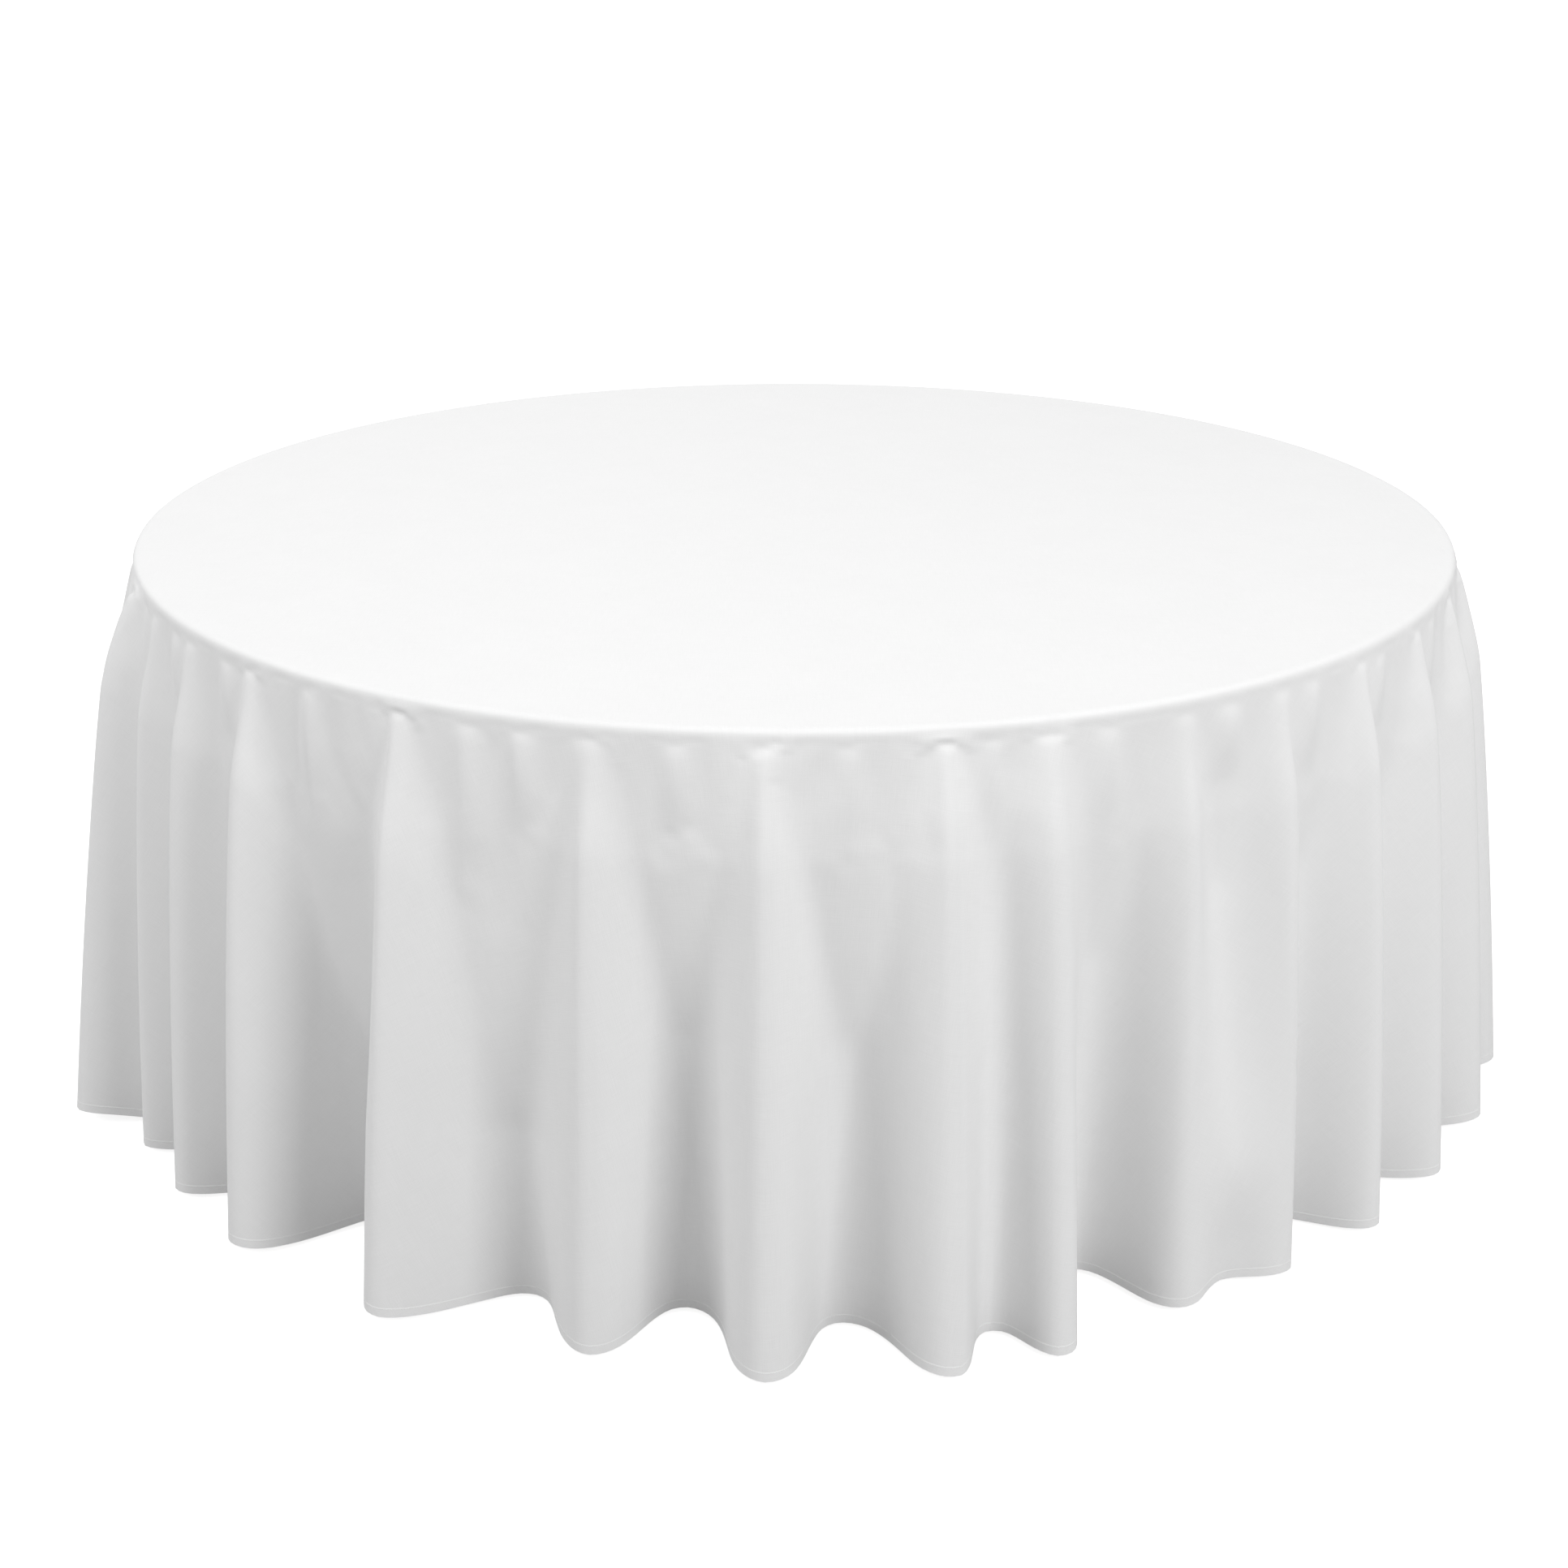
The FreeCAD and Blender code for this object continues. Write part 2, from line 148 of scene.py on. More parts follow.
def running_sum(values):
    """Trapezoid sums along each row, from 0."""
    parts = (values[:, 1:] + values[:, :-1]) / 2 / FOLD_STEPS
    return np.concatenate([np.zeros((len(values), 1)), np.cumsum(parts, axis=1)], axis=1)


def folded_ring(folds, crest_radius, flank, crisp, peak, length):
    """A closed wavy line round the table with a given total length.

    folds has the angle, the extra radius and the gathered cloth of each crest. flank is how wide each
    fold's side is in metres. Returns the cloth's own angle, the radius and the angle in space along
    the line.
    """
    angles, offsets, gathered = folds.T
    gaps = np.diff(np.append(angles, angles[0] + 2 * math.pi))
    ends = np.append(angles + gathered, angles[0] + gathered[0] + 2 * math.pi)
    here = crest_radius + offsets
    after = np.roll(here, -1)
    between = smooth(np.linspace(0, 1, FOLD_STEPS + 1))[None, :-1]
    swing = fold_swing(np.minimum(0.5, flank / (gaps * crest_radius)), crisp, peak)
    lean = LEAN * -np.sin(angles + gaps / 2)

    def line(amount):
        along = running_sum(np.cos(amount * swing))
        inward = -running_sum(np.sin(amount * swing))
        depth = inward[:, :-1] / min(inward.min(), -1e-9)
        size = gaps * (here + after) / 2 / (along[:, -1] - gaps * inward.mean(axis=1))
        theta = angles[:, None] + gaps[:, None] * (along[:, :-1] / along[:, -1:] + lean[:, None] * depth)
        radius = here[:, None] + (after - here)[:, None] * between + size[:, None] * inward[:, :-1]
        radius, theta = radius.ravel(), theta.ravel()
        x, y = radius * np.sin(theta), -radius * np.cos(theta)
        x, y = np.append(x, x[0]), np.append(y, y[0])
        return radius, theta, np.concatenate([[0], np.cumsum(np.hypot(np.diff(x), np.diff(y)))])

    low, high = 0.0, STEEPEST
    for _ in range(HALVINGS):
        amount = (low + high) / 2
        radius, theta, travelled = line(amount)
        if travelled[-1] < length:
            low = amount
        else:
            high = amount
    if gathered.any():
        wanted = np.diff(travelled[::FOLD_STEPS]) * np.diff(ends) / gaps
        low, high = np.zeros((len(gaps), 1)), np.full((len(gaps), 1), STEEPEST)
        for _ in range(HALVINGS):
            amount = (low + high) / 2
            radius, theta, travelled = line(amount)
            short = (np.diff(travelled[::FOLD_STEPS]) < wanted)[:, None]
            low, high = np.where(short, amount, low), np.where(short, high, amount)
    own = np.empty(len(radius) + 1)
    for i in range(len(angles)):
        part = slice(i * FOLD_STEPS, (i + 1) * FOLD_STEPS + 1)
        whole = travelled[(i + 1) * FOLD_STEPS] - travelled[i * FOLD_STEPS]
        own[part] = ends[i] + (ends[i + 1] - ends[i]) * (travelled[part] - travelled[i * FOLD_STEPS]) / whole
    return own, np.append(radius, radius[0]), np.append(theta, theta[0] + 2 * math.pi)


def seated_ring(folds, stand, flank, crisp, peak, length):
    """A folded line whose crests stand out by stand, or less where the valleys would leave the table."""
    tight = TABLE_RADIUS + CLOTH_LIFT

    def depth(out):
        ring = folded_ring(folds, tight + out, flank, crisp, peak, length)
        return tight + out - ring[1].min(), ring

    inside, ring = depth(stand)
    if inside >= stand:
        return ring
    low, high = 0.0, stand
    for _ in range(SEAT_HALVINGS):
        out = (low + high) / 2
        inside, ring = depth(out)
        if inside > out:
            low = out
        else:
            high = out
    return ring


def read_ring(phi, ring):
    """Radius and angle in space of the ring where the cloth's own angle is phi."""
    own, radius, theta = ring
    p = (phi - own[0]) % (2 * math.pi) + own[0]
    return np.interp(p, own, radius), np.interp(p, own, theta) + (phi - p)


def ring_distances():
    """Distance of each mesh ring from the middle of the cloth: close at the rim, wider down the skirt."""
    rim = TABLE_RADIUS - EDGE_ROUNDING
    rim_step, rim_rings = 0.0063, 11
    step, widening, widest = 0.007, 1.08, 0.018
    rings = [rim - 0.052, rim - 0.022, rim - 0.008]
    rings += [rim + rim_step * i for i in range(rim_rings)]
    skirt = []
    distance = rings[-1]
    while distance < CLOTH_RADIUS - 0.02:
        step = min(step * widening, widest)
        distance += step
        skirt.append(distance)
    stretch = (CLOTH_RADIUS - rings[-1]) / (skirt[-1] - rings[-1])
    return np.array(rings + [rings[-1] + (d - rings[-1]) * stretch for d in skirt])


def polar(radius, theta, z):
    """Points at these angles round the table, counted from the front towards +X."""
    z = np.broadcast_to(z, radius.shape)
    return np.stack([radius * np.sin(theta), -radius * np.cos(theta), z], axis=-1)


def plain_profile(rings):
    """Radius and height of each ring of the cloth if it hung without folds.

    The weave gives on the rim, so the spare width only opens up just below it.
    """
    rim = TABLE_RADIUS - EDGE_ROUNDING
    bend = EDGE_ROUNDING + CLOTH_LIFT
    radius = rings.copy()
    height = np.full(len(rings), TABLE_TOP + CLOTH_LIFT)
    for j in range(1, len(rings)):
        beyond = rings[j] - rim
        width = rings[j] - rings[j - 1]
        if beyond > 1e-9:
            a = min(beyond / EDGE_ROUNDING, math.pi / 2)
            below = beyond - EDGE_ROUNDING * math.pi / 2
            opening = float(smooth(below / FOLD_ONSET))
            radius[j] = rim + bend * math.sin(a) if below <= 0 else radius[j - 1] + width * opening
            height[j] = height[j - 1] - math.sqrt(max(width ** 2 - (radius[j] - radius[j - 1]) ** 2, 0))
    return radius, height


def fold_shape(down):
    """The form of the folds at a depth below the rim.

    Returns how far they stand out, how much of their own extra they have, and their flank, crisp and peak.
    """
    share = down / (CLOTH_RADIUS - TABLE_RADIUS)
    onset = 1 - math.exp(-down / FOLD_ONSET)
    stand = HEM_CREST * share ** CREST_POWER * onset
    growth = (share ** OFFSET_POWER + EARLY_OFFSET * math.exp(-down / EARLY_DEPTH)) * onset
    flank = FLANK_AT_RIM + FLANK_GROWTH * down
    return stand, growth, flank, eased(*CRISP, down), eased(*PEAK, down)


def hanging_ring(phi, down, plain_radius, folds, pleats):
    """Radius and angle in space of one ring of the skirt: fine folds under the rim, the main ones below."""
    stand, growth, flank, crisp, peak = fold_shape(down)
    now = (1, growth, float(smooth((down - GATHER_START) / GATHER_DEPTH)))
    length = 2 * math.pi * plain_radius * (1 - eased(*SLACK, down))
    main = seated_ring(folds * now, stand, flank, crisp, peak, length)
    radius, theta = read_ring(phi, main)
    fade = np.interp(phi, pleats[:, 0], pleats[:, 1], period=2 * math.pi)
    blend = smooth((down - FINE_DEPTH) / fade)
    if blend.min() < 1:
        every = np.concatenate([folds, [(angle, 0, 0) for angle, _ in pleats]])
        every = every[np.argsort(every[:, 0])]
        fine = seated_ring(every * now, stand * FINE_STAND, flank * FINE_FLANK, crisp, peak, length)
        fine_radius, fine_theta = read_ring(phi, fine)
        radius = fine_radius + (radius - fine_radius) * blend
        theta = fine_theta + (theta - fine_theta) * blend
    return radius, theta


def even_heights(start, rings):
    """Takes the smallest ripples out of the skirt's heights, from just below the rim."""
    kept_waves, below_rim = 60, 0.03
    waves = np.arange(start.shape[1] // 2 + 1)
    for j, distance in enumerate(rings):
        if distance > TABLE_RADIUS + below_rim:
            spectrum = np.fft.rfft(start[j, :, 2]) * np.exp(-(waves / kept_waves) ** 2)
            start[j, :, 2] = np.fft.irfft(spectrum, start.shape[1])


def folded_start(phi, rings):
    """The cloth over the table with its folds laid in, before gravity works on it."""
    folds = np.array([[math.radians(a), mm / 1000, math.radians(GATHERED.get(a, 0))] for a, mm in FOLDS])
    pleats = np.array([[math.radians(a), depth] for a, depth in PLEATS])
    plain, _ = plain_profile(rings)
    rim = TABLE_RADIUS - EDGE_ROUNDING
    bend = EDGE_ROUNDING + CLOTH_LIFT
    quarter = EDGE_ROUNDING * math.pi / 2
    start = np.zeros((len(rings), len(phi), 3))
    for j, distance in enumerate(rings):
        beyond = distance - rim
        if beyond <= 1e-9:
            start[j] = polar(np.full(len(phi), distance), phi, TABLE_TOP + CLOTH_LIFT)
            continue
        if beyond < quarter:
            a = beyond / EDGE_ROUNDING
            z = TABLE_TOP - EDGE_ROUNDING + bend * math.cos(a)
            start[j] = polar(np.full(len(phi), rim + bend * math.sin(a)), phi, z)
            continue
        down = beyond - quarter
        radius, theta = hanging_ring(phi, down, plain[j], folds, pleats)
        if down < SNUG_DEPTH:
            radius = np.maximum(radius, TABLE_RADIUS + CLOTH_LIFT)
        start[j] = polar(radius, theta, 0.0)
        across = start[j, :, :2] - start[j - 1, :, :2]
        width = distance - rings[j - 1]
        fall = np.sqrt(np.maximum(width ** 2 - (across ** 2).sum(1), (LEAST_FALL * width) ** 2))
        start[j, :, 2] = start[j - 1, :, 2] - fall
    even_heights(start, rings)
    return start


def grid_faces(rows, columns, first=0):
    """Quads of a grid whose columns close into a ring, facing outwards."""
    index = first + np.arange(rows * columns).reshape(rows, columns)
    beside = np.roll(index, -1, 1)
    return np.stack([index[:-1], index[1:], beside[1:], beside[:-1]], axis=-1).reshape(-1, 4).tolist()


def mesh_object(name, points, faces):
    mesh = bpy.data.meshes.new(name)
    mesh.from_pydata(np.asarray(points).reshape(-1, 3).tolist(), [], faces)
    mesh.update()
    made = bpy.data.objects.new(name, mesh)
    bpy.context.scene.collection.objects.link(made)
    return made


def table_collider():
    """The table's rim as an obstacle, a little under size, because the solver keeps its own distance."""
    shrink = 0.0008
    width, height, straight_to = 0.15, 0.022, 0.014
    around = 384
    top = TABLE_TOP - shrink
    radius = TABLE_RADIUS - shrink
    outline = [(radius - width, top)]
    for a in np.linspace(0, math.pi / 2, 9):
        outline.append((radius - EDGE_ROUNDING * (1 - math.sin(a)), top - EDGE_ROUNDING * (1 - math.cos(a))))
    outline += [(radius, top - straight_to), (radius - EDGE_ROUNDING, top - height)]
    outline += [(radius - width, top - height)]
    theta = np.arange(around) / around * 2 * math.pi
    wide = 1 / math.cos(math.pi / around)
    points = [polar(np.full(around, r * wide), theta, z) for r, z in outline]
    table = mesh_object("collider", points, grid_faces(len(outline), around))
    table.modifiers.new("Collision", "COLLISION")
    table.collision.thickness_outer = 0.001
    table.collision.cloth_friction = 8
    table.collision.damping = 0.1
    return table


def drape(start, unfolded, pinned_rings):
    """Lets gravity settle the folded cloth over the table's edge, and returns the settled points."""
    scene = bpy.context.scene
    rows, columns = start.shape[:2]
    cloth = mesh_object("drape", start, grid_faces(rows, columns))
    cloth.shape_key_add(name="Basis")
    rest = cloth.shape_key_add(name="Unfolded")
    rest.data.foreach_set("co", unfolded.reshape(-1))
    pins = cloth.vertex_groups.new(name="pins")
    pins.add(list(range(pinned_rings * columns)), 1.0, "REPLACE")
    modifier = cloth.modifiers.new("Cloth", "CLOTH")
    settings = modifier.settings
    settings.rest_shape_key = rest
    settings.vertex_group_mass = "pins"
    settings.quality = 6
    settings.mass = 0.002
    settings.tension_stiffness = 60
    settings.compression_stiffness = 60
    settings.shear_stiffness = 8
    settings.bending_model = "ANGULAR"
    settings.bending_stiffness = 0.012
    settings.tension_damping = 2
    settings.compression_damping = 2
    settings.shear_damping = 2
    settings.bending_damping = 0.1
    settings.air_damping = 1.5
    contact = modifier.collision_settings
    contact.distance_min = 0.001
    contact.collision_quality = 2
    contact.use_self_collision = False
    table = table_collider()
    scene.gravity = (0, 0, -9.81)
    scene.frame_start = 1
    scene.frame_end = SIMULATED_FRAMES + 1
    modifier.point_cache.frame_end = SIMULATED_FRAMES + 1
    for number in range(1, SIMULATED_FRAMES + 1):
        scene.frame_set(number)
    settled = cloth.evaluated_get(bpy.context.evaluated_depsgraph_get())
    points = np.zeros(rows * columns * 3)
    settled.data.vertices.foreach_get("co", points)
    bpy.data.objects.remove(cloth)
    bpy.data.objects.remove(table)
    scene.frame_set(1)
    return points.reshape(rows, columns, 3)


def finer(grid, closed):
    """Twice as many points along the second axis, on a smooth curve through the given ones."""
    if closed:
        before, after, beyond = np.roll(grid, 1, 1), np.roll(grid, -1, 1), np.roll(grid, -2, 1)
        middle = (-before + 9 * grid + 9 * after - beyond) / 16
        out = np.empty((grid.shape[0], grid.shape[1] * 2) + grid.shape[2:])
        out[:, 0::2] = grid
        out[:, 1::2] = middle
        return out
    first = 2 * grid[:, :1] - grid[:, 1:2]
    last = 2 * grid[:, -1:] - grid[:, -2:-1]
    wide = np.concatenate([first, grid, last], axis=1)
    middle = (-wide[:, :-3] + 9 * wide[:, 1:-2] + 9 * wide[:, 2:-1] - wide[:, 3:]) / 16
    out = np.empty((grid.shape[0], grid.shape[1] * 2 - 1) + grid.shape[2:])
    out[:, 0::2] = grid
    out[:, 1::2] = middle
    return out


def outward(grid):
    """Unit normals of the cloth, facing up on the table and away from it down the skirt."""
    round_it = np.roll(grid, -1, 1) - np.roll(grid, 1, 1)
    down_it = np.gradient(grid, axis=0)
    normal = np.cross(down_it, round_it)
    return normal / np.linalg.norm(normal, axis=-1, keepdims=True)


def keep_cut(made, cut):
    """Stores each point's place on the flat cloth, which the weave follows."""
    layer = made.data.attributes.new("cut", "FLOAT_VECTOR", "POINT")
    layer.data.foreach_set("vector", np.asarray(cut, np.float32).reshape(-1))


def solid_cloth(made, thickness):
    """Gives a sheet its thickness on the inner side, with a clean cut edge."""
    for face in made.data.polygons:
        face.use_smooth = True
    corners = np.zeros(len(made.data.loops), np.int32)
    made.data.loops.foreach_get("edge_index", corners)
    open_edges = np.bincount(corners, minlength=len(made.data.edges)) == 1
    made.data.edges.foreach_set("use_edge_sharp", open_edges)
    modifier = made.modifiers.new("Thickness", "SOLIDIFY")
    modifier.thickness = thickness
    modifier.offset = -1
    modifier.use_even_offset = False


def tablecloth(grid, cut):
    """The whole cloth: a flat middle, the bend over the rim and the hanging folds."""
    rows, columns = grid.shape[:2]
    inner = np.hypot(cut[0, :, 0], cut[0, :, 1])[0]
    theta = np.arange(columns) / columns * 2 * math.pi
    shares = (0.12, 0.35, 0.6, 0.8, 0.93)
    flats = np.array([polar(np.full(columns, inner * share), theta, grid[0, 0, 2]) for share in shares])
    points = np.concatenate([flats, grid])
    cuts = np.concatenate([flats * (1, 1, 0), cut])
    faces = grid_faces(len(points), columns)
    middle = len(points) * columns
    faces += [(middle, i, (i + 1) % columns) for i in range(columns)]
    points = np.concatenate([points.reshape(-1, 3), [[0, 0, grid[0, 0, 2]]]])
    cuts = np.concatenate([cuts.reshape(-1, 3), [[0, 0, 0]]])
    made = mesh_object("draped_cloth", points, faces)
    keep_cut(made, cuts)
    solid_cloth(made, CLOTH_THICKNESS)
    return made


def hem_rows(grid, rings, distances):
    """The cloth's rows at these distances from its middle, read between the mesh rings."""
    rows = []
    for distance in distances:
        j = min(int(np.searchsorted(rings, distance)), len(rings) - 1)
        part = (distance - rings[j - 1]) / (rings[j] - rings[j - 1])
        rows.append(grid[j - 1] * (1 - part) + grid[j] * part)
    return np.array(rows)


def hem_band(grid, normals, cut, rings):
    """The edge of the cloth turned up on the inside, with a rounded fold at the bottom.

    back is how far each of its rows is from the edge, and depth is how far behind the cloth's outer face.
    """
    back = [0.0, 0.0004, 0.0008, 0.006, HEM_WIDTH - 0.0004, HEM_WIDTH]
    depth = [0.0003, 0.0007, 0.0009, 0.0010, 0.0009, 0.0006]
    distances = [CLOTH_RADIUS - b for b in back][::-1]
    depths = np.array(depth[::-1])[:, None, None]
    points = hem_rows(grid, rings, distances) - hem_rows(normals, rings, distances) * depths
    made = mesh_object("turned_hem", points, grid_faces(*points.shape[:2]))
    keep_cut(made, hem_rows(cut, rings, distances))
    solid_cloth(made, CLOTH_THICKNESS)
    return made


def hem_stitches(grid, normals, rings):
    """A row of short thread loops along the hem on the outer face."""
    seam = [CLOTH_RADIUS - HEM_WIDTH + STITCH_INSET]
    line = hem_rows(grid, rings, seam)[0]
    out = hem_rows(normals, rings, seam)[0]
    closed = np.concatenate([line, line[:1]])
    travelled = np.concatenate([[0], np.cumsum(np.linalg.norm(np.diff(closed, axis=0), axis=1))])
    count = int(travelled[-1] / STITCH_PITCH)
    out = np.concatenate([out, out[:1]])

    def read(s):
        place = np.stack([np.interp(s, travelled, closed[:, k]) for k in range(3)], axis=-1)
        normal = np.stack([np.interp(s, travelled, out[:, k]) for k in range(3)], axis=-1)
        return place, normal / np.linalg.norm(normal, axis=-1, keepdims=True)

    middle = (np.arange(count) + 0.5) * travelled[-1] / count
    sides, flattened, look_ahead = 5, 0.7, 0.0003
    # Along each stitch: place as a share of its length, then its width and height in thread widths.
    stations = [(-0.5, 0.35, -0.2), (-0.36, 1.0, 0.35), (0.0, 1.1, 0.55), (0.36, 1.0, 0.35),
                (0.5, 0.35, -0.2)]
    rings_of_stitch = []
    for share, width, height in stations:
        place, normal = read(middle + share * STITCH_LENGTH)
        ahead, _ = read(middle + share * STITCH_LENGTH + look_ahead)
        along = ahead - place
        along = along / np.linalg.norm(along, axis=-1, keepdims=True)
        up = np.cross(normal, along)
        centre = place + normal * (height * STITCH_WIDTH / 2)
        for k in range(sides):
            a = 2 * math.pi * k / sides
            spread = up * math.cos(a) + normal * (math.sin(a) * flattened)
            rings_of_stitch.append(centre + spread * (width * STITCH_WIDTH / 2))
    points = np.stack(rings_of_stitch, axis=1)
    size = points.shape[1]
    faces = []
    for i in range(count):
        first = i * size
        for s in range(len(stations) - 1):
            for k in range(sides):
                a, b = first + s * sides + k, first + s * sides + (k + 1) % sides
                faces.append((a, b, b + sides, a + sides))
        faces.append([first + k for k in reversed(range(sides))])
        faces.append([first + (len(stations) - 1) * sides + k for k in range(sides)])
    made = mesh_object("hem_stitches", points, faces)
    for face in made.data.polygons:
        face.use_smooth = True
    return made


# ---- materials ----
class Recipe:
    """A node material with one Principled shader, built up a node at a time."""

    def __init__(self, name, roughness, **sockets):
        self.made = bpy.data.materials.new(name)
        self.made.use_nodes = True
        self.tree = self.made.node_tree
        self.shader = next(n for n in self.tree.nodes if n.type == "BSDF_PRINCIPLED")
        self.shader.inputs["Roughness"].default_value = roughness
        for socket, value in sockets.items():
            self.shader.inputs[socket.replace("_", " ")].default_value = value

    def node(self, kind, values=None, **properties):
        made = self.tree.nodes.new("ShaderNode" + kind)
        for name, value in properties.items():
            setattr(made, name, value)
        for socket, value in (values or {}).items():
            if isinstance(value, bpy.types.NodeSocket):
                self.tree.links.new(value, made.inputs[socket])
            else:
                made.inputs[socket].default_value = value
        return made

    def place(self):
        return self.node("TexCoord").outputs["Object"]

    def scaled(self, vector, scale):
        return self.node("Mapping", {"Vector": vector, "Scale": scale}).outputs[0]

    def noise(self, vector, scale, detail=3.0, rough=0.55):
        sockets = {"Vector": vector, "Scale": scale, "Detail": detail, "Roughness": rough}
        return self.node("TexNoise", sockets).outputs["Fac"]

    def math(self, operation, a, b=0.5):
        return self.node("Math", {0: a, 1: b}, operation=operation).outputs[0]

    def ramp(self, factor, low, high, start=0.0, end=1.0):
        made = self.node("ValToRGB", {"Fac": factor})
        made.color_ramp.elements[0].position = start
        made.color_ramp.elements[1].position = end
        made.color_ramp.elements[0].color = (*low, 1)
        made.color_ramp.elements[1].color = (*high, 1)
        return made.outputs["Color"]

    def range(self, factor, low, high):
        return self.node("MapRange", {"Value": factor, "To Min": low, "To Max": high}).outputs[0]

    def bump(self, height, distance, strength=1.0, under=None):
        sockets = {"Height": height, "Distance": distance, "Strength": strength}
        if under is not None:
            sockets["Normal"] = under
        return self.node("Bump", sockets).outputs[0]

    def feed(self, **links):
        for socket, value in links.items():
            self.tree.links.new(value, self.shader.inputs[socket.replace("_", " ")])
        return self.made


def white_polyester():
    """Spun polyester in a plain weave: two threads to the millimetre, with slightly thicker places."""
    thread_pair = 0.001
    step_width = 0.0006
    r = Recipe("white_polyester_weave", 0.7, Sheen_Weight=0.1, Sheen_Roughness=0.5, Specular_IOR_Level=0.3)
    cut = r.node("Attribute", attribute_name="cut").outputs["Vector"]
    xyz = r.node("SeparateXYZ", {0: cut})
    warp = r.math("SINE", r.math("MULTIPLY", xyz.outputs[0], 2 * math.pi / thread_pair))
    weft = r.math("SINE", r.math("MULTIPLY", xyz.outputs[1], 2 * math.pi / thread_pair))
    crossing = r.math("MULTIPLY", warp, weft)
    warp_slub = r.noise(r.scaled(cut, (900, 28, 1)), 1.0, 2.0)
    weft_slub = r.noise(r.scaled(cut, (28, 900, 1)), 1.0, 2.0)
    slub = r.math("ADD", warp_slub, weft_slub)
    cloud = r.noise(cut, 9.0, 3.0)
    tone = r.math("ADD", r.math("MULTIPLY", slub, 0.4), r.math("MULTIPLY", cloud, 0.2))
    colour = r.ramp(tone, (0.85, 0.85, 0.85), (0.90, 0.90, 0.90), 0.3, 0.7)
    from_middle = r.node("VectorMath", {0: cut}, operation="LENGTH").outputs["Value"]
    from_edge = r.math("SUBTRACT", CLOTH_RADIUS - HEM_WIDTH, from_middle)
    step = {"Value": from_edge, "From Min": step_width, "From Max": -step_width}
    hem_step = r.node("MapRange", step).outputs[0]
    fine = r.bump(crossing, 0.00002)
    threads = r.bump(slub, 0.00008, 1.0, fine)
    hem = r.bump(hem_step, 0.0004, 1.0, threads)
    return r.feed(Base_Color=colour, Normal=hem, Roughness=r.range(slub, 0.62, 0.78))


def sewing_thread():
    r = Recipe("sewing_thread_twist", 0.5, Sheen_Weight=0.2)
    twist = r.node("TexWave", {"Vector": r.place(), "Scale": 900.0, "Distortion": 1.5},
                   bands_direction="DIAGONAL")
    colour = r.ramp(twist.outputs["Fac"], (0.80, 0.80, 0.80), (0.92, 0.92, 0.91))
    return r.feed(Base_Color=colour, Normal=r.bump(twist.outputs["Fac"], 0.00005))


def laminate():
    r = Recipe("speckled_laminate", 0.4)
    speckle = r.node("TexVoronoi", {"Vector": r.place(), "Scale": 420.0}).outputs["Distance"]
    cloud = r.noise(r.place(), 14.0, 5.0)
    tone = r.math("ADD", r.math("MULTIPLY", speckle, 0.5), r.math("MULTIPLY", cloud, 0.6))
    colour = r.ramp(tone, (0.52, 0.47, 0.40), (0.76, 0.72, 0.65), 0.25, 0.8)
    grain = r.bump(r.noise(r.place(), 1400.0, 2.0), 0.00004)
    return r.feed(Base_Color=colour, Roughness=r.range(cloud, 0.33, 0.48), Normal=grain)


def wood(name, dark, light, along, grain_scale):
    """Sealed wood with long grain lines along one axis, pores and a little uneven gloss."""
    r = Recipe(name, 0.45, Coat_Weight=0.15, Coat_Roughness=0.35)
    squeezed = r.scaled(r.place(), tuple(0.06 if k == along else 1.0 for k in range(3)))
    across = "Y" if along == 0 else "X"
    bands = r.node("TexWave", {"Vector": squeezed, "Scale": grain_scale, "Distortion": 9.0, "Detail": 4.0,
                               "Detail Scale": 1.4}, bands_direction=across).outputs["Fac"]
    pores = r.noise(squeezed, 900.0, 2.0, 0.7)
    tone = r.math("ADD", r.math("MULTIPLY", bands, 0.65), r.math("MULTIPLY", pores, 0.35))
    colour = r.ramp(tone, dark, light, 0.15, 0.85)
    return r.feed(Base_Color=colour, Roughness=r.range(pores, 0.38, 0.6), Normal=r.bump(tone, 0.0002))


def plywood():
    """Birch plywood: face grain above and below, thin layers of turned grain on the edge."""
    layer_pair = 0.0038
    r = Recipe("birch_plywood", 0.5, Coat_Weight=0.1, Coat_Roughness=0.4)
    place = r.place()
    squeezed = r.scaled(place, (0.05, 1.0, 1.0))
    bands = r.node("TexWave", {"Vector": squeezed, "Scale": 9.0, "Distortion": 12.0, "Detail": 5.0},
                   bands_direction="Y").outputs["Fac"]
    pores = r.noise(squeezed, 700.0, 2.0, 0.7)
    height = r.node("SeparateXYZ", {0: place}).outputs[2]
    layer = r.math("SINE", r.math("MULTIPLY", height, 2 * math.pi / layer_pair))
    tone = r.math("ADD", r.math("MULTIPLY", bands, 0.5), r.math("MULTIPLY", pores, 0.3))
    tone = r.math("ADD", tone, r.math("MULTIPLY", layer, 0.08))
    colour = r.ramp(tone, (0.47, 0.31, 0.16), (0.78, 0.62, 0.42), 0.05, 0.9)
    return r.feed(Base_Color=colour, Roughness=r.range(pores, 0.42, 0.62), Normal=r.bump(tone, 0.00015))


def edge_plastic():
    r = Recipe("dark_vinyl_edge", 0.38)
    cloud = r.noise(r.place(), 25.0, 4.0)
    colour = r.ramp(cloud, (0.018, 0.016, 0.015), (0.05, 0.046, 0.042), 0.3, 0.75)
    grain = r.bump(r.noise(r.place(), 1800.0, 2.0), 0.00006)
    return r.feed(Base_Color=colour, Roughness=r.range(cloud, 0.3, 0.5), Normal=grain)


